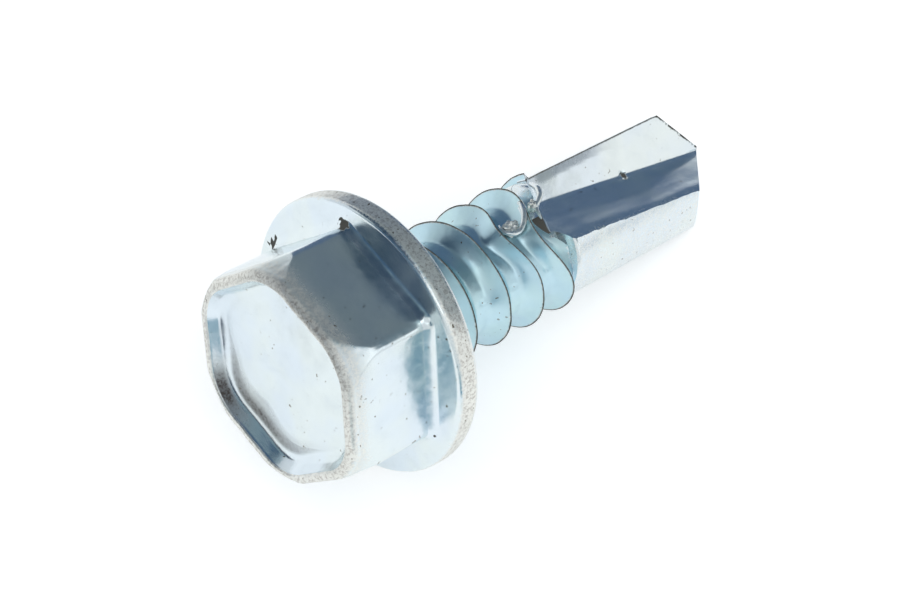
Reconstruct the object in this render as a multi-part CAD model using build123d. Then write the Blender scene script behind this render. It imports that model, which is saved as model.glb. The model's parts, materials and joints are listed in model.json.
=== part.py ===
from build123d import *
import math
import os

# Self-drilling screw, size 5.5 x 19, with an indented hex washer head.
#
# The screw is one cold-forged piece: hex head with a shallow indent, round flange,
# coarse right-hand thread and a forged drill point with two straight flutes.
# It is modelled along Z with the bearing face at z = 0, the head below it and the
# point above, the upper flute toward +X. At the end it is laid on the floor the way
# it comes to rest.

# --- head and flange (mm) ---
ACROSS_FLATS = 8.0
HEAD_HEIGHT = 4.8            # bearing face to the top of the head, flange included
HEX_CORNER_RADIUS = 0.5
CORNER_CLIP = 0.15           # top radius beyond the flats: the forging leaves the corners short
CORNER_CLIP_DEPTH = 1.5
HEAD_EDGE_RADIUS = 0.2
HEX_TWIST = 46.2             # degrees from the upper flute to one hex corner
FLANGE_REACH = 0.78          # the round rim stands out this far beyond the hex corners
FLANGE_RIM = 0.95            # thickness at the rim
FLANGE_RISE = 0.05           # the top face rises this much from the rim to the hex
FLANGE_EDGE_RADIUS = 0.25
HEAD_FILLET = 0.25           # hex to flange
COLLAR_HEIGHT = 0.15         # low round collar where the shank leaves the bearing face
COLLAR_CLEARANCE = 0.06      # the collar stands out this far beyond the thread crest

# --- indent in the head ---
INDENT_WALL = 0.38           # rim left around the indent
INDENT_CORNER_RADIUS = 2.0
INDENT_DEPTH = 0.4
INDENT_DRAFT = 40.0          # degrees
INDENT_FLOOR_FILLET = 0.15

# --- thread ---
MAJOR_DIAMETER = 5.4
THREAD_DEPTH = 0.62
PITCH = 1.8
FLANK_ANGLE = 60.0
CREST_LAND = 0.12
THREAD_TURNS = 5             # whole turns above the bearing face
THREAD_PHASE = -86.0         # degrees from the upper flute to the helix at z = 0
THREAD_STOP = -6.0           # the ridge ends at this angle, inside the upper flute
RIDGE_SINK = 0.3             # depth of the ridge's foot below the root

# --- drill point ---
LENGTH = 18.4                # bearing face to the point
DRILL_DROP = 0.27            # the drill's round lands lie this far below the thread crest
LIP_ANGLE = -47.6            # degrees from the upper flute to its cutting face
WEB = 0.64                   # thickness left between the two cutting faces
FLUTE_OPENING = 125.0        # degrees between cutting face and flute wall
VALLEY_OFFSET = 1.23         # valley of the flute beside the axis at the end of the thread
VALLEY_SLOPE = -0.115        # sideways run of the valley per mm toward the point
VALLEY_RADIUS = 0.3
FLUTE_OVERLAP = 1.3          # the flute reaches full depth this far inside the thread
BLANK_OVERLAP = 1.0          # the drill blank starts this far inside the thread
FLUTE_RUNOUT = 35.0          # degrees, slope of the flute's end toward the head
LIP_SLOPE = 0.72             # fall of the end face per mm outward along the lip
RELIEF_SLOPE = 0.89          # fall of the end face per mm behind the lip

# --- lying on the floor ---
REST_ROUNDS = 40             # passes to settle the three supports

# --- sizes that follow from the ones above ---
HEX_CORNER = ACROSS_FLATS / math.sqrt(3)    # axis to a sharp hex corner
RIM_RADIUS = HEX_CORNER + FLANGE_REACH
MAJOR_RADIUS = MAJOR_DIAMETER / 2
ROOT_RADIUS = MAJOR_RADIUS - THREAD_DEPTH
DRILL_RADIUS = MAJOR_RADIUS - DRILL_DROP
THREAD_FROM = -FLANGE_RIM / 2          # the ridge starts inside the head
THREAD_END = PITCH * (THREAD_TURNS + (THREAD_STOP - THREAD_PHASE) / 360)
DRILL_START = THREAD_END - BLANK_OVERLAP


def ring_edges(solid, radius, height):
    """Round edges of the solid that lie at one radius and one height."""
    found = []
    for edge in solid.edges().filter_by(GeomType.CIRCLE):
        middle = edge.position_at(0.5)
        if abs(math.hypot(middle.X, middle.Y) - radius) < 1e-3 and abs(middle.Z - height) < 1e-3:
            found.append(edge)
    return found


def rounded_hex(across_flats, corner_radius):
    """Flat hexagon turned to the head's corners, with rounded corners."""
    outline = RegularPolygon(across_flats / 2, 6, major_radius=False, rotation=HEX_TWIST)
    return fillet(outline.vertices(), corner_radius)


def hex_prism():
    """Hex part of the head with softened, underfilled corners."""
    outline = rounded_hex(ACROSS_FLATS, HEX_CORNER_RADIUS)
    prism = Pos(0, 0, -HEAD_HEIGHT) * extrude(outline, HEAD_HEIGHT - FLANGE_RIM / 2)
    clip = Polyline((0, -HEAD_HEIGHT), (ACROSS_FLATS / 2 + CORNER_CLIP, -HEAD_HEIGHT),
                    (HEX_CORNER, CORNER_CLIP_DEPTH - HEAD_HEIGHT), (HEX_CORNER, 0), (0, 0),
                    close=True)
    envelope = revolve(Plane.XZ * make_face(clip), Axis.Z)
    prism = prism & envelope
    top = prism.faces().sort_by(Axis.Z)[0]
    return fillet(top.edges(), HEAD_EDGE_RADIUS)


def flange():
    """Round flange with a flat bearing face, a low collar on it and a slightly rising top."""
    rise = FLANGE_RIM + FLANGE_RISE
    collar = MAJOR_RADIUS + COLLAR_CLEARANCE
    outline = Polyline((0, COLLAR_HEIGHT), (collar, COLLAR_HEIGHT), (collar, 0),
                       (RIM_RADIUS, 0), (RIM_RADIUS, -FLANGE_RIM),
                       (ACROSS_FLATS / 2, -rise), (0, -rise), close=True)
    disc = revolve(Plane.XZ * make_face(outline), Axis.Z)
    rims = ring_edges(disc, RIM_RADIUS, 0) + ring_edges(disc, RIM_RADIUS, -FLANGE_RIM)
    return fillet(rims, FLANGE_EDGE_RADIUS)


def indent():
    """Shallow rounded-hex indent pressed into the top of the head."""
    step = INDENT_DEPTH * math.tan(math.radians(INDENT_DRAFT))
    rings = [Pos(0, 0, height - HEAD_HEIGHT)
             * rounded_hex(ACROSS_FLATS - 2 * (INDENT_WALL + inset), INDENT_CORNER_RADIUS - inset)
             for height, inset in ((0, 0), (INDENT_DEPTH, step))]
    pocket = loft(rings, ruled=True)
    floor = pocket.faces().sort_by(Axis.Z)[-1]
    return fillet(floor.edges(), INDENT_FLOOR_FILLET)


def ridge():
    """Helical thread ridge whose crest is a true cylinder at the major diameter."""
    helix = Rot(0, 0, THREAD_PHASE + 360 * THREAD_FROM / PITCH) * Pos(0, 0, THREAD_FROM) * Helix(
        PITCH, THREAD_END - THREAD_FROM, ROOT_RADIUS)
    start = helix @ 0
    spread = math.tan(math.radians(FLANK_ANGLE / 2))
    half_crest = CREST_LAND / 2
    foot = half_crest + (THREAD_DEPTH + RIDGE_SINK) * spread
    section = Plane(start, x_dir=(start.X, start.Y, 0), z_dir=helix % 0) * make_face(Polyline(
        (-RIDGE_SINK, -foot), (THREAD_DEPTH + half_crest / spread, 0), (-RIDGE_SINK, foot),
        close=True))
    sleeve = Cylinder(2 * MAJOR_RADIUS, 3 * LENGTH) - Cylinder(MAJOR_RADIUS, 3 * LENGTH)
    return sweep(section, path=helix, is_frenet=True) - sleeve


def shank():
    """Threaded shank and round drill blank, from inside the head to the point."""
    helix_ridge = ridge()
    step = Plane.XY.offset(DRILL_START)
    parts = []
    for radius, keep in ((ROOT_RADIUS, Keep.BOTTOM), (DRILL_RADIUS, Keep.TOP)):
        core = Pos(0, 0, THREAD_FROM) * Cylinder(
            radius, LENGTH - THREAD_FROM, align=(Align.CENTER, Align.CENTER, Align.MIN))
        parts.append(split(core + helix_ridge, step, keep=keep))
    return parts[0] + parts[1]


def flute_cutter():
    """V-shaped cutter for the upper flute, valley running slightly across the axis."""
    full_depth = THREAD_END - FLUTE_OVERLAP
    base = full_depth - MAJOR_DIAMETER
    valley = (VALLEY_OFFSET + VALLEY_SLOPE * (base - THREAD_END), WEB / 2)
    reach = 2 * MAJOR_DIAMETER
    wall = math.radians(FLUTE_OPENING)
    outline = make_face(Polyline(
        valley, (valley[0] + reach * math.cos(wall), valley[1] + reach * math.sin(wall)),
        (valley[0] + reach, valley[1] + reach), (valley[0] + reach, valley[1]), close=True))
    outline = fillet(outline.vertices().sort_by_distance((*valley, 0))[0], VALLEY_RADIUS)
    span = LENGTH + 1 - base
    cutter = extrude(Pos(0, 0, base) * outline, span * math.hypot(1, VALLEY_SLOPE),
                     dir=(VALLEY_SLOPE, 0, 1))
    slope = math.radians(FLUTE_RUNOUT)
    ramp = Plane(origin=(0, WEB / 2, full_depth), x_dir=(1, 0, 0),
                 z_dir=(0, math.sin(slope), math.cos(slope)))
    return split(cutter, ramp, keep=Keep.TOP)


def end_cutter():
    """Block above the end face that backs off behind one cutting lip."""
    normal = Vector(-LIP_SLOPE, RELIEF_SLOPE, 1).normalized()
    face = Plane(origin=(0, 0, LENGTH), x_dir=Vector(1, 0, LIP_SLOPE), z_dir=normal)
    return face * Pos(0, 0, LENGTH / 2) * Box(3 * LENGTH, 3 * LENGTH, LENGTH)


def drilling_screw():
    """The complete screw, standing along Z with the upper flute toward +X."""
    head = hex_prism() + flange()
    seam = [edge for edge in head.edges()
            if -FLANGE_RISE - 0.01 <= edge.center().Z + FLANGE_RIM <= 0
            and math.hypot(edge.center().X, edge.center().Y) < HEX_CORNER + 0.01]
    head = fillet(seam, HEAD_FILLET) - indent()
    body = head + shank()
    for turn in (0, 180):
        tool = Rot(0, 0, LIP_ANGLE + turn)
        body = body - tool * flute_cutter() - tool * end_cutter()
    return body


def resting_down(body):
    """Direction that points at the floor once the screw has come to rest.

    It lies on the rounded rim of the flange and on the lowest corner of the point
    on either side of the lower flute; the three supports are found in turn until
    they agree on one plane.
    """
    corners = [vertex.center() for vertex in body.vertices()
               if vertex.center().Z > DRILL_START and vertex.center().X < 0]
    down = Vector(-1, 0, 0)
    for _ in range(REST_ROUNDS):
        toward_rim = Vector(down.X, down.Y, 0).normalized() * (RIM_RADIUS - FLANGE_EDGE_RADIUS)
        rim = toward_rim + Vector(0, 0, -FLANGE_EDGE_RADIUS) + down * FLANGE_EDGE_RADIUS
        left, right = [max((corner for corner in corners if corner.Y * side > 0), key=down.dot)
                       for side in (1, -1)]
        down = (right - rim).cross(left - rim).normalized()
    return down


def at_rest(body):
    """The screw lying on the floor, point toward +X, over the centre of its outline."""
    up = resting_down(body) * -1
    along = Vector(0, 0, 1) - up * up.Z
    lying = Plane(origin=(0, 0, 0), x_dir=along, z_dir=up).to_local_coords(body)
    box = lying.bounding_box()
    return Pos(-box.center().X, -box.center().Y, -box.min.Z) * lying


os.makedirs("parts", exist_ok=True)
export_step(at_rest(drilling_screw()), "parts/drilling_screw.step")
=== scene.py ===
import json
import math

import bpy
import numpy as np
from mathutils import Matrix, Vector, noise


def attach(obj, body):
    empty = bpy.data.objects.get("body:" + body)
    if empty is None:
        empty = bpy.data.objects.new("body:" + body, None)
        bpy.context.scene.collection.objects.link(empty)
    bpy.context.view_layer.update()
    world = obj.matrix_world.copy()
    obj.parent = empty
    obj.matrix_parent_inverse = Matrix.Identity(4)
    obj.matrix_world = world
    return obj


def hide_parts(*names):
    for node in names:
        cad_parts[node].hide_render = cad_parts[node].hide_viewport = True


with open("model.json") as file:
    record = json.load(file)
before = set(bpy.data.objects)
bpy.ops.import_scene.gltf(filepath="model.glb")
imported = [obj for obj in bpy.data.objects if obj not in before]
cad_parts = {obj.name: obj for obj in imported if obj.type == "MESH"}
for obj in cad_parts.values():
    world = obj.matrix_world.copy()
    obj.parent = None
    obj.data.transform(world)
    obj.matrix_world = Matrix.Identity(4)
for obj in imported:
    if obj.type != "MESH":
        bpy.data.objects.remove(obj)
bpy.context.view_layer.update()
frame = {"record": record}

# The screw is drawn in its own millimetres: z runs from the bearing face toward the
# point, and angle 0 points into the upper flute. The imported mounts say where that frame
# lies. A look angle is counted in degrees the other way round, from the lower side of the
# screw as it lies, through the side that the camera sees.

MM = 0.001
TURN = 2 * math.pi
LOOK_ZERO = 127.4

# --- head and flange (mm) ---
ACROSS_FLATS = 8.0
HEX_CORNER_RADIUS = 0.5
HEX_TWIST = math.radians(46.2)
HEAD_TOP = -4.8
CORNER_CLIP = 4.15
CLIP_SLOPE = 0.31
TOP_EDGE_IN, TOP_EDGE_DOWN = 0.28, 0.3
RIM_RADIUS = 5.4
RIM_BEND = 0.25
FLANGE_TOP = -0.95
FLANGE_FALL = 0.05
FOOT_OUT, FOOT_UP = 0.32, 0.26
FOOT_CORNER = 4.68
COLLAR_RADIUS = 2.76
COLLAR_HEIGHT = 0.15
INDENT_FLATS = 7.24
INDENT_CORNER_RADIUS = 2.0
INDENT_DEPTH = 0.5
INDENT_LOW_LOOK = 285
LIP_OUT = 0.05
HEAD_COLUMNS = 500

# The indent's wall, as (outward, height) from the indent's outline and its floor: where the
# floor ends, the corner it bends round, and where the straight slope to the lip starts. The
# wall is broad near INDENT_LOW_LOOK and tight elsewhere.
TIGHT_WALL = ((-0.56, 0), (-0.35, 0), (-0.22, -0.17))
BROAD_WALL = ((-1.50, 0), (-0.74, 0), (-0.50, -0.11))
WALL_TOP = (-0.05, -0.43)

# Size of the stain at each corner of the hexagon's foot.
CORNER_STAINS = (0.01, 0.05, 0.14, 0.18, 0.26, 0.20)

# --- thread and drill point (mm) ---
MAJOR_RADIUS = 2.7
ROOT_RADIUS = 2.08
PITCH = 1.8
THREAD_PHASE = math.radians(-86.0)
THREAD_END = 9.4
THREAD_TURNS = 6
RIDGE_REACH = 0.66
TURN_COLUMNS = 260
LENGTH = 18.4
DRILL_RADIUS = 2.43
DRILL_START = 8.4
LIP_ANGLE = math.radians(-47.6)
HALF_WEB = 0.32
FLUTE_OPENING = math.radians(129.0)
VALLEY_OFFSET = 1.30
VALLEY_SLOPE = -0.115
VALLEY_RADIUS = 0.3
FLUTE_FULL = 9.2
FLUTE_RUNOUT = math.radians(40.0)
WALL_LAG = 0.2
LIP_SLOPE = 0.72
LIP_SLANT = 1.23
RELIEF_SLOPE = 0.89
NICK_REACH, NICK_HEIGHT = 0.80, 14.0

# Points along the cutting face, the fold and the far wall of a flute's section.
FACE_POINTS, FOLD_POINTS, WALL_POINTS = 40, 7, 40

# Dents that the rolling dies left, as (look angle, height, radius).
DIE_MARKS = ((60, 3.57, 2.1), (58, 5.26, 2.1), (37, 5.40, 2.2), (60, 7.03, 2.1), (12, 7.56, 2.1))

# Curls of metal at the end of a flute, as (look angle, height, radius) along each, and the
# thickness of each curl along its length.
FIRST_CURL = ((131, 7.32, 2.50), (124, 7.1, 2.58), (117, 6.90, 2.60), (110, 6.60, 2.56),
              (105, 6.24, 2.50), (106, 5.92, 2.44), (111, 5.72, 2.36), (117, 5.74, 2.30),
              (122, 5.88, 2.22))
FIRST_THICKNESS = (0.10, 0.12, 0.12, 0.11, 0.10, 0.09, 0.08, 0.08, 0.05)
SECOND_CURL = ((150, 8.80, 2.40), (136, 8.55, 2.52), (128, 8.30, 2.52), (124, 8.05, 2.46),
               (121, 7.75, 2.42), (114, 7.60, 2.40), (107, 7.56, 2.36))
SECOND_THICKNESS = (0.10, 0.13, 0.12, 0.11, 0.09, 0.07, 0.03)


# ---------------------------------------------------------------- shared helpers

def screw_frame():
    """Matrix from the screw's own millimetres to the row's frame in metres."""
    mounts = {mount["name"]: mount for mount in frame["record"]["mounts"]}
    axis = Vector(mounts["drill_point"]["axis"]).normalized()
    on_axis = Vector(mounts["drill_point"]["pos_m"])
    on_face = Vector(mounts["bearing_face"]["pos_m"])
    origin = on_axis + axis * (on_face - on_axis).dot(axis)
    flute = (on_face - origin).normalized()
    side = axis.cross(flute)
    turn = Matrix((flute, side, axis)).transposed().to_4x4()
    return Matrix.Translation(origin) @ turn @ Matrix.Scale(MM, 4)


PLACE = screw_frame()


def rough(points, size, seed):
    """Smooth noise from -1 to 1 at each point, with lumps of about the given size in mm."""
    offset = Vector((7.3 * seed, 3.1 * seed, 11.7 * seed))
    return np.array([noise.noise(Vector(p) / size + offset) for p in points.reshape(-1, 3)]
                    ).reshape(points.shape[:-1])


def smooth_step(value, low, high):
    """Rises smoothly from 0 at low to 1 at high."""
    t = np.clip((value - low) / (high - low), 0, 1)
    return t * t * (3 - 2 * t)


def soft_min(a, b, width):
    """The smaller of two values, rounded over where they cross."""
    return -width * np.log(np.exp(-a / width) + np.exp(-b / width))


def polar(radius, angle, height):
    """Points from broadcast cylindrical coordinates."""
    radius, angle, height = np.broadcast_arrays(radius, angle, height)
    return np.stack((radius * np.cos(angle), radius * np.sin(angle), height), axis=-1)


def from_look(look):
    """The screw's own angle for a look angle."""
    return np.radians(LOOK_ZERO - look)


def beside(look, height, radius):
    """Point at a look angle, height and distance from the axis."""
    return polar(radius, from_look(look), height)


def turned(points, turn):
    """The points turned about the screw's axis."""
    c, s = math.cos(turn), math.sin(turn)
    return points @ np.array(((c, s, 0), (-s, c, 0), (0, 0, 1)))


def make_object(name, points, faces, **values):
    """Object from points in screw millimetres, with named values stored on its vertices."""
    mesh = bpy.data.meshes.new(name)
    mesh.from_pydata([PLACE @ Vector(p) for p in points.reshape(-1, 3).tolist()], [], faces)
    for key, value in values.items():
        layer = mesh.attributes.new(key, "FLOAT", "POINT")
        layer.data.foreach_set("value", np.asarray(value, dtype=np.float32).ravel())
    mesh.validate()
    obj = bpy.data.objects.new(name, mesh)
    bpy.context.scene.collection.objects.link(obj)
    return obj


def tube(name, rows, **values):
    """Closed tube through rings of equal length, with a point closing each end."""
    count, around = rows.shape[:2]
    ends = np.stack((rows[0].mean(axis=0), rows[-1].mean(axis=0)))
    points = np.concatenate((rows.reshape(-1, 3), ends))
    faces = []
    for j in range(count - 1):
        for i in range(around):
            k = (i + 1) % around
            faces.append((j * around + i, j * around + k, (j + 1) * around + k,
                          (j + 1) * around + i))
    for i in range(around):
        k = (i + 1) % around
        last = (count - 1) * around
        faces.append((k, i, count * around))
        faces.append((last + i, last + k, count * around + 1))
    stored = {}
    for key, value in values.items():
        value = np.broadcast_to(value, rows.shape[:2])
        stored[key] = np.concatenate((value.ravel(), [value[0].mean(), value[-1].mean()]))
    return make_object(name, points, faces, **stored)


def combine(target, others, operation):
    """Cuts the others from the target or joins them to it, and removes them."""
    for other in others:
        step = target.modifiers.new("step", "BOOLEAN")
        step.operation, step.solver, step.object = operation, "MANIFOLD", other
    bpy.context.view_layer.update()
    shaped = bpy.data.meshes.new_from_object(
        target.evaluated_get(bpy.context.evaluated_depsgraph_get()))
    target.modifiers.clear()
    target.data = shaped
    for other in others:
        bpy.data.objects.remove(other)


def bend(start, corner, end, count):
    """Points along a curve from start to end that bends round the corner."""
    t = np.linspace(0, 1, count)[:, None]
    start, corner, end = map(np.array, (start, corner, end))
    return (1 - t) ** 2 * start + 2 * t * (1 - t) * corner + t * t * end


# ---------------------------------------------------------------- head

def hex_radius(angle, across_flats, corner_radius):
    """Distance from the axis to a rounded hexagon at each angle."""
    apothem = across_flats / 2
    off_flat = (angle - HEX_TWIST) % (TURN / 6) - TURN / 12
    reach = (apothem - corner_radius) / math.cos(TURN / 12)
    turn_in = math.atan((apothem - corner_radius) * math.tan(TURN / 12) / apothem)
    off_corner = TURN / 12 - np.abs(off_flat)
    inside = np.maximum(corner_radius ** 2 - (reach * np.sin(off_corner)) ** 2, 0)
    rounded = reach * np.cos(off_corner) + np.sqrt(inside)
    return np.where(np.abs(off_flat) < turn_in, apothem / np.cos(off_flat), rounded)


def ring(radius, height, worn=0.0, rolled=0.0, soot=0.0):
    """One ring of the head's skin, with what its vertices store for the material."""
    return radius, height, worn, rolled, soot


def indent_rings(angle):
    """Rings of the indent, from the middle of its floor out to its lip."""
    pocket = hex_radius(angle, INDENT_FLATS, INDENT_CORNER_RADIUS)
    floor = HEAD_TOP + INDENT_DEPTH
    low_side = (angle - from_look(INDENT_LOW_LOOK) + math.pi) % TURN - math.pi
    broad = np.exp(-low_side ** 2 / 0.9)

    def wall_steps(start, corner, end):
        """Offsets up the wall: round its corner, then straight up to WALL_TOP."""
        return np.concatenate((bend(start, corner, end, 18), np.linspace(end, WALL_TOP, 8)[1:]))

    walls = [tight + (wide - tight) * broad[:, None]
             for tight, wide in zip(wall_steps(*TIGHT_WALL), wall_steps(*BROAD_WALL))]
    flat = pocket + walls[0][:, 0]
    # The floor darkens toward the wall on the low side with painted shade and dirt.
    for share in np.linspace(0.02, 1, 40):
        crown = 0.04 * (1 - smooth_step(share, 0.5, 0.95)) - 0.02 * math.exp(-(share / 0.2) ** 2)
        yield ring(flat * share, floor - crown, soot=0.35 * broad * smooth_step(share, 0.86, 1))
    for out, up in (wall.T for wall in walls[1:]):
        # Painted shade and dirt darken the wall on the low side, with a patch of painted shade high
        # on the wall beside it.
        smudge_and_shade = 0.35 + 0.75 * smooth_step(out, -1.4, -0.85) - 1.10 * smooth_step(out, -0.75, -0.58)
        brown = np.exp(-(low_side - 0.40) ** 2 / 0.08) * smooth_step(out, -0.50, -0.30)
        yield ring(pocket + out, floor + up, soot=broad * smudge_and_shade + 1.3 * brown)
    lip_bend = bend(WALL_TOP, (-0.01, -INDENT_DEPTH), (LIP_OUT, -INDENT_DEPTH), 7)
    for out, up in lip_bend[1:]:
        yield ring(pocket + out, floor + up, worn=0.75)


def side_rings(angle):
    """Rings from the indent's lip over the rubbed top and down the six sides."""
    outer = hex_radius(angle, ACROSS_FLATS, HEX_CORNER_RADIUS)
    # One flat of the hexagon, and the top beside it, are darker toward the top edge.
    darker_flat = np.exp(-((angle - HEX_TWIST + TURN / 12 + math.pi) % TURN - math.pi) ** 2 / 0.45)

    def side(height):
        """Distance to the side at a height: the hexagon, with its corners clipped."""
        return soft_min(outer, CORNER_CLIP + CLIP_SLOPE * (height - HEAD_TOP), 0.02)

    def clipped(height):
        """How far a corner is clipped at a height, from 0 to 1."""
        return smooth_step(outer - side(height), 0.01, 0.08)

    lip = hex_radius(angle, INDENT_FLATS, INDENT_CORNER_RADIUS) + LIP_OUT
    top_edge = side(HEAD_TOP) - TOP_EDGE_IN
    for share in np.linspace(0.2, 1, 5):
        yield ring(lip + (top_edge - lip) * share, HEAD_TOP, worn=1.0, soot=0.25 * darker_flat * share)
    for out, up in bend((-TOP_EDGE_IN, 0), (-0.02, 0), (0, TOP_EDGE_DOWN), 12)[1:]:
        height = HEAD_TOP + up
        yield ring(side(height) + out, height, worn=1 - 0.5 * up / TOP_EDGE_DOWN,
                   rolled=0.6 * clipped(height), soot=0.45 * darker_flat)
    foot = FLANGE_TOP - FLANGE_FALL - FOOT_UP
    for height in np.linspace(HEAD_TOP + TOP_EDGE_DOWN, foot, 40)[1:]:
        near_top = 1 - smooth_step(height, -4.4, -3.5)
        yield ring(side(height), height, worn=0.15 + 0.45 * near_top, rolled=0.6 * clipped(height),
                   soot=0.45 * darker_flat * near_top)


def flange_rings(angle):
    """Rings from the fillet at the hexagon's foot, round the flange's rim, to the collar."""
    outer = hex_radius(angle, ACROSS_FLATS, HEX_CORNER_RADIUS)
    for out, up in bend((0, -FOOT_UP), (0.12, -0.10), (FOOT_OUT, 0), 12)[1:]:
        yield ring(outer + out, FLANGE_TOP - FLANGE_FALL + up)
    inner, rim = outer + 0.3, RIM_RADIUS - RIM_BEND
    for share in np.linspace(0, 1, 12)[1:]:
        yield ring(inner + (rim - inner) * share, FLANGE_TOP - FLANGE_FALL * (1 - share))
    for out, up in bend((-RIM_BEND, 0), (0, 0), (0, RIM_BEND), 9)[1:]:
        yield ring(RIM_RADIUS + out, FLANGE_TOP + up, worn=0.2 + 0.8 * up / RIM_BEND)
    for height in np.linspace(FLANGE_TOP + RIM_BEND, -RIM_BEND, 8)[1:]:
        yield ring(RIM_RADIUS, height, worn=1.0)
    for out, up in bend((0, -RIM_BEND), (0, 0), (-RIM_BEND, 0), 9)[1:]:
        yield ring(RIM_RADIUS + out, up, worn=0.6)
    for radius in np.linspace(rim, COLLAR_RADIUS, 12)[1:]:
        yield ring(radius, 0.0)
    yield ring(COLLAR_RADIUS, COLLAR_HEIGHT)
    yield ring(ROOT_RADIUS - 0.4, COLLAR_HEIGHT)


def head():
    """Hex head with its indent, flange and bearing face, as one closed skin."""
    angle = np.arange(HEAD_COLUMNS) / HEAD_COLUMNS * TURN
    rings = (*indent_rings(angle), *side_rings(angle), *flange_rings(angle))
    radii, heights, *finish = zip(*rings)
    points = np.array([polar(radius, angle, height) for radius, height in zip(radii, heights)])
    worn, rolled, soot = (np.array([np.broadcast_to(value, angle.shape) for value in values])
                          for values in finish)

    # Forged unevenness of the sides and the top.
    outward = points / np.maximum(np.linalg.norm(points[..., :2], axis=-1), 1)[..., None]
    outward[..., 2] = 0
    lumps = 0.018 * rough(points, 1.6, 1) + 0.006 * rough(points, 0.35, 2)
    grain = 0.016 * rough(points, 0.16, 3) * np.clip(rolled + 0.45 * worn, 0, 1)
    on_side = smooth_step(points[..., 2], HEAD_TOP, HEAD_TOP + TOP_EDGE_DOWN) * (
        1 - smooth_step(points[..., 2], -0.3, 0))
    points = points + outward * ((lumps + grain) * on_side)[..., None]
    on_top = 1 - smooth_step(points[..., 2], HEAD_TOP, HEAD_TOP + 0.45)
    points[..., 2] += (0.012 * rough(points, 0.9, 4) + 0.7 * grain) * on_top

    # A small hollow and a ragged stain at each corner of the hexagon's foot.
    edge = np.ones(points.shape[:2])
    for k, size in enumerate(CORNER_STAINS):
        corner = polar(FOOT_CORNER, HEX_TWIST + TURN / 6 * k, FLANGE_TOP - 0.10)
        far = np.linalg.norm(points - corner, axis=-1)
        points[..., 2] += 0.08 * np.exp(-(far / 0.12) ** 2)
        far *= 1 + 0.8 * rough(points, 0.16, 5)
        edge = np.minimum(edge, np.maximum(far - size, 0))
    return tube("head", points, worn=worn, rolled=rolled, edge=edge, soot=soot)


# ---------------------------------------------------------------- shank

def ridge_height(offset):
    """Thread height over the root at an axial distance from the crest."""
    t = np.clip(np.abs(offset) / RIDGE_REACH, 0, 1)
    return (MAJOR_RADIUS - ROOT_RADIUS) * (1 - t) ** 1.75


def pushed(angle, height):
    """How far the forging of the point pushed the finished thread toward the head.

    The push is strongest beside the end of each flute and fades away round the shank.
    """
    levels = (5.5, 7.7, 8.9)
    most = np.interp(height, (4.0, *levels), (0.0, 0.54, 1.06, 1.35))
    middle = from_look(np.interp(height, levels, (112, 97, 112)))
    ahead = np.radians(np.interp(height, levels, (25, 44, 40)))
    behind = np.radians(np.interp(height, levels, (20, 32, 26)))
    off = (angle - middle + TURN / 4) % (TURN / 2) - TURN / 4
    return most * np.exp(-(off / np.where(off > 0, ahead, behind)) ** 2)


def helical_faces(rows, across):
    """Faces over rows of points that each go once round the shank and climb by one pitch.

    The end of a row meets the start of the row that lies across rows further on. A fan over
    one row and the seam beside it closes each end, round the two points that come last.
    """
    faces = []
    for j in range(rows - 1):
        for i in range(TURN_COLUMNS):
            k, step = (i + 1, 0) if i + 1 < TURN_COLUMNS else (0, across)
            corners = [(j, i), (j + step, k), (j + 1 + step, k), (j + 1, i)]
            if j + 1 + step < rows:
                faces.append(tuple(row * TURN_COLUMNS + column for row, column in corners))
    first_loop = list(range(TURN_COLUMNS))
    first_loop += [j * TURN_COLUMNS for j in range(across, 0, -1)]
    last_loop = [(rows - 1) * TURN_COLUMNS + i for i in range(TURN_COLUMNS)]
    last_loop += [(rows - j) * TURN_COLUMNS - 1 for j in range(1, across + 1)]
    middle = rows * TURN_COLUMNS
    faces += [(b, a, middle) for a, b in zip(first_loop, first_loop[1:] + first_loop[:1])]
    faces += [(a, b, middle + 1) for a, b in zip(last_loop, last_loop[1:] + last_loop[:1])]
    return faces


def thread():
    """Root and helical ridge as one closed tube."""
    # The rows lie at these axial distances on each side of a crest.
    half = np.array([0, 0.018, 0.045, 0.08, 0.13, 0.19, 0.26, 0.33, 0.41, 0.49, 0.57, 0.65,
                     0.76, 0.88])
    offsets = np.concatenate((-half[::-1], half[1:-1]))
    across = len(offsets)
    index = np.arange(THREAD_TURNS * across + 1)
    first_crest = -PITCH * (THREAD_PHASE / TURN + 1)
    along = first_crest + PITCH * (index // across) + offsets[index % across]
    angle = np.arange(TURN_COLUMNS)[None, :] / TURN_COLUMNS * TURN
    height = along[:, None] + PITCH * angle / TURN
    height = height - pushed(angle, height)
    offset = np.broadcast_to(offsets[index % across][:, None], height.shape)
    crest = ridge_height(offset)
    points = polar(ROOT_RADIUS + crest, angle, height)
    wobble = 0.014 * rough(points, 0.8, 11) + 0.006 * rough(points, 0.25, 12)
    for mark in DIE_MARKS:
        far = np.linalg.norm(points - beside(*mark), axis=-1)
        wobble -= 0.045 * np.exp(-(far / 0.13) ** 4)
    points = polar(ROOT_RADIUS + crest + wobble, angle, height + 0.03 * rough(points, 1.4, 13))
    ends = np.array([[0, 0, points[0, :, 2].mean()], [0, 0, points[-1, :, 2].mean()]])
    worn = 0.9 * np.exp(-(offset / 0.05) ** 2)
    # Painted shade darkens the thread next to the flange.
    soot = 0.45 * (1 - smooth_step(points[..., 2], 0.3, 2.2))
    worn, edge, soot = (np.append(value.ravel(), (0, 0)) for value in (worn, np.abs(offset), soot))
    points = np.concatenate((points.reshape(-1, 3), ends))
    return make_object("thread", points, helical_faces(len(index), across), worn=worn,
                       rolled=np.ones(len(points)), edge=edge, soot=soot)


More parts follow.
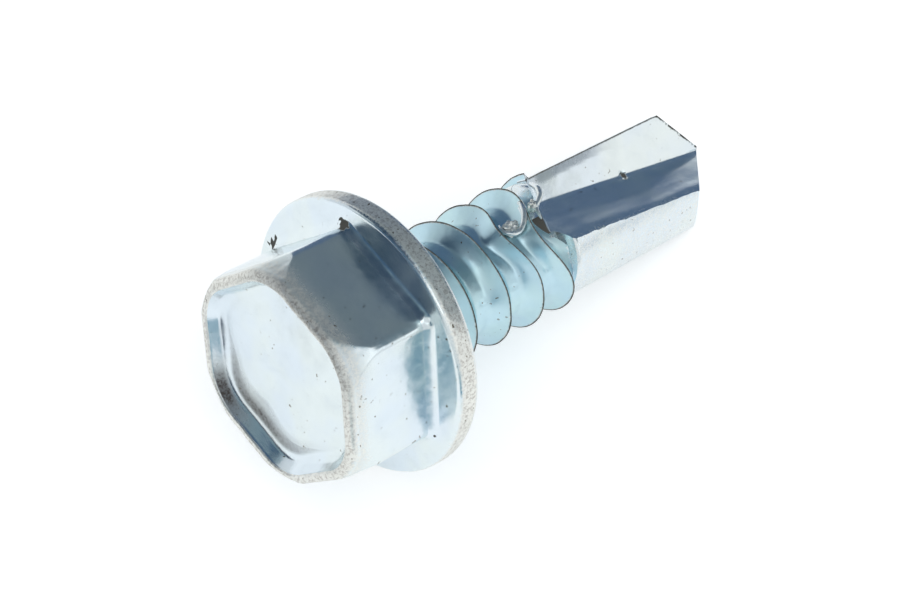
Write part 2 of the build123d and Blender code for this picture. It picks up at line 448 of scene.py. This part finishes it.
def drill_blank():
    """Round blank of the drill, with a short step up from the thread root."""
    angle = np.arange(TURN_COLUMNS) / TURN_COLUMNS * TURN
    rows = []
    for ahead, below in ((-0.9, 0.6), (-0.2, 0.6), (-0.06, 0.3), (0.03, 0.06), (0.10, 0.02)):
        rows.append(polar(DRILL_RADIUS - below, angle, DRILL_START + ahead))
    for height in np.arange(DRILL_START + 0.16, LENGTH + 0.8, 0.11):
        rows.append(polar(DRILL_RADIUS, angle, height))
    points = np.array(rows)
    outward = points * (1, 1, 0)
    outward /= np.linalg.norm(outward, axis=-1)[..., None]
    bumps = 0.008 * rough(points, 1.1, 21) + 0.006 * rough(points, 0.25, 22) - 0.006
    points += outward * bumps[..., None]
    blade = LIP_ANGLE + math.asin(HALF_WEB / DRILL_RADIUS)
    behind_blade = DRILL_RADIUS * ((blade - angle) % math.pi)
    return tube("blank", points, worn=0.52, rolled=0.0, edge=behind_blade[None, :])


def flute_outline(height):
    """Section of the flute tool: cutting face, fold, far wall and the tool's two outer corners.

    x runs outward along the cutting face and y away from it. Toward the head the section
    climbs out of the metal.
    """
    reach, hollow, soft = 4.2, 0.015, 0.16
    wall = np.array((math.cos(FLUTE_OPENING), math.sin(FLUTE_OPENING)))
    normal = np.array((-wall[1], wall[0]))
    climb = max(FLUTE_FULL - height, -0.6) / math.tan(FLUTE_RUNOUT)
    rise = soft * math.log1p(math.exp(climb / soft))
    valley = VALLEY_OFFSET + VALLEY_SLOPE * (height - THREAD_END)
    corner = np.array((valley - rise * math.tan(FLUTE_OPENING - TURN / 4), HALF_WEB + rise))
    trim = VALLEY_RADIUS * math.tan((math.pi - FLUTE_OPENING) / 2)
    face = [corner + (t, 0) for t in np.linspace(reach, trim, FACE_POINTS)]
    fold = [corner + p for p in bend((trim, 0), (0, 0), wall * trim, FOLD_POINTS + 2)[1:-1]]
    side = [corner + wall * t + normal * hollow * max(0, 1 - (t / 1.2 - 1) ** 2)
            for t in np.linspace(trim, reach, WALL_POINTS)]
    outer = [side[-1] + (reach, 0), face[0] + (0, reach)]
    lag = np.zeros(FACE_POINTS + FOLD_POINTS + WALL_POINTS + 2)
    lag[-WALL_POINTS - 2:-2] = np.linspace(0, WALL_LAG * reach, WALL_POINTS)
    lag[-2] = WALL_LAG * reach
    return np.column_stack((face + fold + side + outer, height + lag))


def flute_tool(turn, seed):
    """Closed V-shaped tool whose lower part runs out of the metal toward the head."""
    heights = np.concatenate((np.arange(5.6, 8.6, 0.05), np.arange(8.6, LENGTH + 1.2, 0.1)))
    points = np.array([flute_outline(height) for height in heights])
    cutting_face = np.s_[:, :FACE_POINTS]
    past_face = np.s_[:, FACE_POINTS:]
    face_and_fold = np.s_[:, :FACE_POINTS + FOLD_POINTS]
    far_wall = np.s_[:, FACE_POINTS + FOLD_POINTS:-2]
    facing = np.zeros_like(points)
    facing[cutting_face] = (0, -1, 0)
    facing[far_wall] = (-math.sin(FLUTE_OPENING), math.cos(FLUTE_OPENING), 0)

    # Forged dents, with long streaks on the far wall.
    dents = 0.004 * rough(points, 1.2, seed) + 0.001 * rough(points, 0.3, seed + 1)
    dents[far_wall] += 0.010 * rough(points[far_wall] * (1, 1, 0.2), 0.5, seed + 4)
    points = points + facing * dents[..., None]

    # Cutting face: a facet along the lip and a ground bevel along the outer edge.
    lip_height = LENGTH + RELIEF_SLOPE * HALF_WEB - LIP_SLOPE * points[..., 0]
    to_lip = (lip_height - points[..., 2]) / LIP_SLANT
    to_side = DRILL_RADIUS - points[..., 0]
    facet = 0.07 * np.clip(1 - to_lip / 0.65, 0, 1.5)
    ground = smooth_step(points[..., 2], 9.0, 10.0) * (1 - smooth_step(points[..., 2], 12.5, 14.5))
    bevel = 0.05 * np.clip(1 - to_side / 0.42, 0, 1.3) * ground
    points[:, :FACE_POINTS, 1] += (facet - bevel)[cutting_face]
    # Painted shade darkens the ground bevel.
    soot = 0.3 * np.clip(20 * (0.42 - to_side), 0, 1) * ground
    soot[past_face] = 0

    # Far wall: a ragged, worn heel where it meets the outside of the blank.
    radius = np.linalg.norm(points[..., :2], axis=-1)
    heel = np.clip((radius - DRILL_RADIUS + 0.45) / 0.45, 0, 1.2)
    heel[face_and_fold] = 0
    ragged = 1 + 0.6 * rough(points, 0.4, seed + 2)
    points += facing * (0.06 * heel ** 4 * ragged)[..., None]

    # Stains follow the outer edge of the flute and its lip. The upper flute has a dark nick.
    edge = np.abs(DRILL_RADIUS - np.linalg.norm(points[..., :2], axis=-1))
    edge = np.where(points[..., 0] > 0, 0.5 * np.minimum(edge, 1.5 * np.abs(to_lip)), 1.0)
    if turn == 0:
        far = np.hypot(points[..., 0] - NICK_REACH, points[..., 2] - NICK_HEIGHT)
        points += facing * (0.14 * np.exp(-(far / 0.16) ** 4))[..., None]
        edge = np.minimum(edge, np.maximum(0.5 * (far - 0.08), 0))
    return tube("flute", turned(points[::-1], LIP_ANGLE + turn), worn=0.5 * heel[::-1],
                rolled=0.0, edge=edge[::-1], soot=soot[::-1])


def end_tool(turn, seed):
    """Closed block over one backed-off end face."""
    steps = np.arange(-4, 4.01, 0.08)
    n = len(steps)
    x, y = np.meshgrid(steps, steps, indexing="ij")
    low = LENGTH + LIP_SLOPE * x - RELIEF_SLOPE * y
    points = np.stack((x, y, low), axis=-1)
    points[..., 2] += 0.012 * rough(points, 0.5, seed) + 0.005 * rough(points, 0.15, seed + 1)
    top = np.stack((x, y, low + 9), axis=-1)
    faces = []
    for i in range(n - 1):
        for j in range(n - 1):
            a, b, c, d = i * n + j, i * n + j + 1, (i + 1) * n + j + 1, (i + 1) * n + j
            faces += [(a, b, c, d), (d + n * n, c + n * n, b + n * n, a + n * n)]
    border = [i * n for i in range(n)] + [(n - 1) * n + j for j in range(1, n)]
    border += [i * n + n - 1 for i in range(n - 2, -1, -1)] + list(range(n - 2, 0, -1))
    faces += [(a, b, b + n * n, a + n * n) for a, b in zip(border, border[1:] + border[:1])]
    points = np.concatenate((points.reshape(-1, 3), top.reshape(-1, 3)))
    even = np.ones(len(points))
    return make_object("end", turned(points, LIP_ANGLE + turn), faces, worn=0.3 * even,
                       rolled=0 * even, edge=even)


def strand(path, radii):
    """Round bar along a path, as a closed tube with closed ends."""
    path = np.array(path)
    fine = np.linspace(0, len(path) - 1, 6 * len(path))
    line = np.stack([np.interp(fine, range(len(path)), path[:, k]) for k in range(3)], axis=-1)
    for _ in range(4):  # rounds the path's corners
        line[1:-1] = (line[:-2] + 2 * line[1:-1] + line[2:]) / 4
    thick = np.interp(fine, range(len(radii)), radii)
    ahead = np.gradient(line, axis=0)
    ahead /= np.linalg.norm(ahead, axis=-1)[:, None]
    out = line * (1, 1, 0)
    side = np.cross(ahead, out)
    side /= np.linalg.norm(side, axis=-1)[:, None]
    out = np.cross(side, ahead)
    angle = np.linspace(0, TURN, 14, endpoint=False)[None, :, None]
    rings = line[:, None] + thick[:, None, None] * (
        np.cos(angle) * out[:, None] + np.sin(angle) * side[:, None])
    rings = rings + 0.05 * thick[:, None, None] * rough(rings, 0.1, 51)[..., None]
    return tube("strand", rings, worn=0.55, rolled=0.3, edge=1.0)


def nugget(centre, size, seed):
    """Crumpled lump of metal, as a closed tube from pole to pole."""
    turn = np.linspace(0.12, math.pi - 0.12, 22)[:, None]
    angle = np.arange(36)[None, :] / 36 * TURN
    ball = np.stack(np.broadcast_arrays(np.sin(turn) * np.cos(angle), np.sin(turn) * np.sin(angle),
                                        -np.cos(turn)), axis=-1)
    lumps = 1 + 0.45 * rough(ball, 0.55, seed) + 0.2 * rough(ball, 0.25, seed + 1)
    points = centre + ball * size * lumps[..., None]
    return tube("nugget", points, worn=0.7, rolled=0.5, edge=1.0)


def burrs(turn):
    """Folded ends of the ridges and loose curls of metal at the end of one flute."""
    made = [strand([beside(*place) for place in FIRST_CURL], FIRST_THICKNESS),
            strand([beside(*place) for place in SECOND_CURL], SECOND_THICKNESS),
            nugget(beside(114, 6.15, 2.28), (0.26, 0.26, 0.34), 53),
            nugget(beside(123, 7.72, 2.34), (0.22, 0.22, 0.22), 55)]
    if turn:
        for piece in made:
            piece.data.transform(PLACE @ Matrix.Rotation(turn, 4, "Z") @ PLACE.inverted())
    return made


def shank():
    """Thread and drill blank, with the flutes and end faces cut and the burrs added."""
    body = thread()
    combine(body, [drill_blank()], "UNION")
    combine(body, [flute_tool(0, 31), flute_tool(math.pi, 33)], "DIFFERENCE")
    combine(body, [end_tool(0, 41), end_tool(math.pi, 43)], "DIFFERENCE")
    combine(body, burrs(0) + burrs(math.pi), "UNION")
    body.name = "shank"
    return body


# ---------------------------------------------------------------- material

class Graph:
    """Short names for building a node tree."""

    def __init__(self, tree):
        self.tree = tree
        self.tree.nodes.clear()

    def node(self, kind, inputs=None, **settings):
        """New node, its inputs linked or set, and its settings."""
        node = self.tree.nodes.new(kind)
        for key, value in settings.items():
            setattr(node, key, value)
        for key, value in (inputs or {}).items():
            socket = node.inputs[key]
            if isinstance(value, bpy.types.NodeSocket):
                self.tree.links.new(value, socket)
            else:
                socket.default_value = value
        return node

    def calc(self, operation, a, b, clamp=False):
        return self.node("ShaderNodeMath", {0: a, 1: b}, operation=operation,
                         use_clamp=clamp).outputs[0]

    def mix(self, share, a, b, blend="MIX"):
        """Colour a, blended with colour b by the share."""
        return self.node("ShaderNodeMix", {0: share, 6: a, 7: b}, data_type="RGBA",
                         blend_type=blend).outputs[2]

    def noise(self, where, scale, detail, roughness=0.55, warp=0.0):
        return self.node("ShaderNodeTexNoise", {"Vector": where, "Scale": scale, "Detail": detail,
                                                "Roughness": roughness,
                                                "Distortion": warp}).outputs[0]

    def ramp(self, value, low, high, to_low=0.0, to_high=1.0):
        """Value from one range to another, smoothly."""
        return self.node("ShaderNodeMapRange",
                         {0: value, 1: low, 2: high, 3: to_low, 4: to_high},
                         interpolation_type="SMOOTHSTEP").outputs[0]


def zinc_plate():
    """Bright zinc plate with a blue tint, worn and stained where the dies rubbed.

    The meshes store worn, rolled, and dirt with painted shade, each from 0 to about 1, and edge,
    the distance in millimetres from the nearest stained edge or spot.
    """
    material = bpy.data.materials.new("zinc_plate")
    material.use_nodes = True
    g = Graph(material.node_tree)
    where = g.node("ShaderNodeTexCoord").outputs["Object"]
    worn, rolled, edge, soot = (
        g.node("ShaderNodeAttribute", attribute_name=name).outputs["Fac"]
        for name in ("worn", "rolled", "edge", "soot"))

    # Plate, with a tint that drifts, cloudy patches and a bluer cast where it was rolled.
    tint = g.ramp(g.noise(where, 450, 2.0), 0.35, 0.65)
    plate = g.mix(tint, (0.75, 0.83, 0.885, 1), (0.80, 0.87, 0.87, 1))
    cloud = g.ramp(g.noise(where, 1300, 5.0, 0.6, 0.4), 0.45, 0.75)
    plate = g.mix(g.calc("MULTIPLY", cloud, 0.25), plate, (0.62, 0.70, 0.76, 1))
    drawn = g.mix(1.0, plate, (0.72, 0.89, 0.93, 1), "MULTIPLY")
    plate = g.mix(g.ramp(rolled, 0.6, 1.0), plate, drawn)

    # Rubbed grey and tan patches, grime and painted shade, brown specks, and dark stains along the
    # edges.
    mottle = g.noise(where, 8500, 5.0, 0.75, 0.5)
    uneven = g.calc("SUBTRACT", mottle, 0.5)
    rubbed = g.mix(g.ramp(mottle, 0.36, 0.56), (0.46, 0.42, 0.37, 1), (0.86, 0.85, 0.79, 1))
    patch = g.calc("ADD", worn, g.calc("MULTIPLY", uneven, 1.3))
    wear = g.ramp(patch, 0.35, 0.8, 0.0, 0.85)
    colour = g.mix(wear, plate, rubbed)
    grime_and_shade = g.calc("MULTIPLY", soot, g.ramp(mottle, 0.25, 0.6, 1.0, 0.65))
    colour = g.mix(grime_and_shade, colour, (0.07, 0.06, 0.055, 1))
    specks = g.ramp(g.noise(where, 5200, 2.0, 0.5), 0.69, 0.74)
    near = g.ramp(g.noise(where, 700, 2.0), 0.45, 0.6)
    specks = g.calc("MULTIPLY", specks, g.calc("MAXIMUM", near, worn))
    colour = g.mix(specks, colour, (0.16, 0.13, 0.09, 1))
    ragged = g.calc("ADD", edge, g.calc("MULTIPLY", uneven, 0.04))
    stain = g.ramp(ragged, 0.010, 0.042, 0.96, 0.0)
    colour = g.mix(stain, colour, (0.05, 0.045, 0.035, 1))

    # Dirt and painted shade are duller and less metallic than the plate, and fine
    #     # unevenness breaks up the gloss.
    dull_dirt_and_shade = g.calc("ADD", stain, g.calc("MULTIPLY", grime_and_shade, 0.6), clamp=True)
    roughness = g.ramp(g.noise(where, 900, 4.0), 0.3, 0.7, 0.16, 0.27)
    for amount, duller in ((wear, 0.2), (rolled, 0.12), (dull_dirt_and_shade, 0.4)):
        roughness = g.calc("ADD", roughness, g.calc("MULTIPLY", amount, duller))
    metallic = g.calc("SUBTRACT", 1.0, g.calc("MULTIPLY", wear, 0.12))
    metallic = g.calc("SUBTRACT", metallic, dull_dirt_and_shade, clamp=True)
    fine = g.noise(where, 6000, 3.0, 0.6)
    lump = g.noise(where, 1500, 2.0, 0.5)
    height = g.calc("ADD", g.calc("MULTIPLY", fine, 0.35), lump)
    bump = g.node("ShaderNodeBump", {"Strength": 0.12, "Distance": 0.00004,
                                     "Height": height}).outputs[0]
    shader = g.node("ShaderNodeBsdfPrincipled", {
        "Base Color": colour, "Metallic": metallic, "Roughness": roughness,
        "Specular IOR Level": 0.15, "Normal": bump})
    g.node("ShaderNodeOutputMaterial", {"Surface": shader.outputs[0]})
    return material


# ---------------------------------------------------------------- studio

def heading(azimuth, elevation):
    """Unit vector toward an azimuth (0 is -Y, 90 is +X) and elevation in degrees."""
    a, e = math.radians(azimuth), math.radians(elevation)
    return Vector((math.sin(a) * math.cos(e), -math.cos(a) * math.cos(e), math.sin(e)))


def studio_world():
    """Even, faintly blue surround that the camera sees as white."""
    world = bpy.data.worlds.new("studio")
    bpy.context.scene.world = world
    world.use_nodes = True
    g = Graph(world.node_tree)
    light = g.node("ShaderNodeBackground", {"Color": (0.93, 0.97, 1.0, 1), "Strength": 0.8})
    white = g.node("ShaderNodeBackground", {"Color": (1, 1, 1, 1), "Strength": 1.0})
    camera = g.node("ShaderNodeLightPath").outputs["Is Camera Ray"]
    both = g.node("ShaderNodeMixShader", {0: camera, 1: light.outputs[0], 2: white.outputs[0]})
    g.node("ShaderNodeOutputWorld", {"Surface": both.outputs[0]})


def studio_floor():
    """Pale floor that looks white, with a soft shadow, and nearly white in reflections."""
    size = 0.9
    mesh = bpy.data.meshes.new("floor")
    corners = [(-size, -size, 0), (size, -size, 0), (size, size, 0), (-size, size, 0)]
    mesh.from_pydata(corners, [], [(0, 1, 2, 3)])
    floor = bpy.data.objects.new("floor", mesh)
    bpy.context.scene.collection.objects.link(floor)
    material = bpy.data.materials.new("floor")
    material.use_nodes = True
    g = Graph(material.node_tree)
    paper = g.node("ShaderNodeBsdfDiffuse", {"Color": (0.9, 0.9, 0.9, 1)})
    glow = g.node("ShaderNodeEmission", {"Color": (1, 1, 1, 1), "Strength": 0.34})
    path = g.node("ShaderNodeLightPath").outputs
    mirrored = g.calc("MULTIPLY", path["Is Glossy Ray"], 0.7)
    seen = g.calc("MAXIMUM", path["Is Camera Ray"], mirrored)
    lit = g.node("ShaderNodeAddShader", {0: paper.outputs[0], 1: glow.outputs[0]})
    both = g.node("ShaderNodeMixShader", {0: seen, 1: paper.outputs[0], 2: lit.outputs[0]})
    g.node("ShaderNodeOutputMaterial", {"Surface": both.outputs[0]})
    mesh.materials.append(material)


def flag(name, azimuth, elevation, distance, width, height, colour, around=(0, 0, 0)):
    """Studio card that shows only in reflections, distance, width and height in metres.

    It faces a place on or near the screw, given in millimetres in the row's frame.
    """
    mesh = bpy.data.meshes.new(name)
    w, h = width / 2, height / 2
    mesh.from_pydata([(-w, -h, 0), (w, -h, 0), (w, h, 0), (-w, h, 0)], [], [(0, 1, 2, 3)])
    material = bpy.data.materials.new(name)
    material.use_nodes = True
    g = Graph(material.node_tree)
    shade = g.node("ShaderNodeEmission", {"Color": (*colour, 1), "Strength": 1.0})
    g.node("ShaderNodeOutputMaterial", {"Surface": shade.outputs[0]})
    mesh.materials.append(material)
    obj = bpy.data.objects.new(name, mesh)
    back = heading(azimuth, elevation)
    obj.location = Vector(around) * MM + back * distance
    obj.rotation_mode = "QUATERNION"
    obj.rotation_quaternion = back.to_track_quat("Z", "Y")
    for ray in ("camera", "diffuse", "transmission", "volume_scatter", "shadow"):
        setattr(obj, "visible_" + ray, False)
    bpy.context.scene.collection.objects.link(obj)


def softbox(name, azimuth, elevation, distance, size, power):
    """Square area lamp aimed at the screw, distance and size in metres, power in watts."""
    lamp = bpy.data.lights.new(name, "AREA")
    lamp.size, lamp.energy = size, power
    obj = bpy.data.objects.new(name, lamp)
    back = heading(azimuth, elevation)
    obj.location = back * distance
    obj.rotation_mode = "QUATERNION"
    obj.rotation_quaternion = (-back).to_track_quat("-Z", "Y")
    bpy.context.scene.collection.objects.link(obj)


def camera():
    """Camera at the photograph's place, looking down along the screw from its head."""
    data = bpy.data.cameras.new("camera")
    data.lens, data.sensor_width = 80.0, 36.0
    data.clip_start, data.clip_end = 0.005, 10.0
    obj = bpy.data.objects.new("camera", data)
    back = heading(-54.418, 59.607)
    distance = 75.72 * MM
    target = Vector((-2.378, -0.127, 3.522)) * MM
    level = back.to_track_quat("Z", "Y").to_matrix()
    roll = Matrix.Rotation(math.radians(17.126), 3, "Z")
    obj.matrix_world = Matrix.Translation(target + back * distance) @ (level @ roll).to_4x4()
    bpy.context.scene.collection.objects.link(obj)
    bpy.context.scene.camera = obj


# ---------------------------------------------------------------- the scene

plate = zinc_plate()
pieces = [head(), shank()]
for piece in pieces:
    piece.data.materials.clear()
    piece.data.materials.append(plate)
    piece.data.shade_smooth()
    piece.data.set_sharp_from_angle(angle=math.radians(32))
    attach(piece, "root")
    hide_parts("drilling_screw")

studio_world()
studio_floor()
flag("slate_flag", 117, 42, 0.055, 0.075, 0.085, (0.15, 0.19, 0.22))
flag("teal_flag", 66, 40, 0.020, 0.020, 0.013, (0.10, 0.16, 0.20), (-3, 0, 5))
flag("pale_card", 66, 26, 0.045, 0.030, 0.024, (1.0, 1.0, 1.0), (6, 0, 6))
flag("low_flag", 128, 20, 0.026, 0.040, 0.026, (0.10, 0.15, 0.23))
flag("navy_flag", -146, 54, 0.09, 0.12, 0.09, (0.04, 0.07, 0.11))
flag("left_flag", -105, 21, 0.12, 0.10, 0.09, (0.22, 0.31, 0.36))
flag("front_flag", -34, 2, 0.12, 0.08, 0.05, (0.14, 0.31, 0.40))
flag("top_flag", 60, 84, 0.15, 0.10, 0.10, (0.30, 0.42, 0.48))
flag("recess_flag", -104, -10, 0.012, 0.011, 0.0042, (0.04, 0.06, 0.09), (-10.9, 0, 6.3))
flag("indent_flag", -112, 30, 0.012, 0.012, 0.006, (0.04, 0.09, 0.17), (-10.9, 0, 6.3))
softbox("key", -60, 72, 0.5, 0.35, 0.3)
softbox("fill", 30, 35, 0.5, 0.4, 0.2)
camera()
bpy.context.scene.view_settings.view_transform = "Standard"
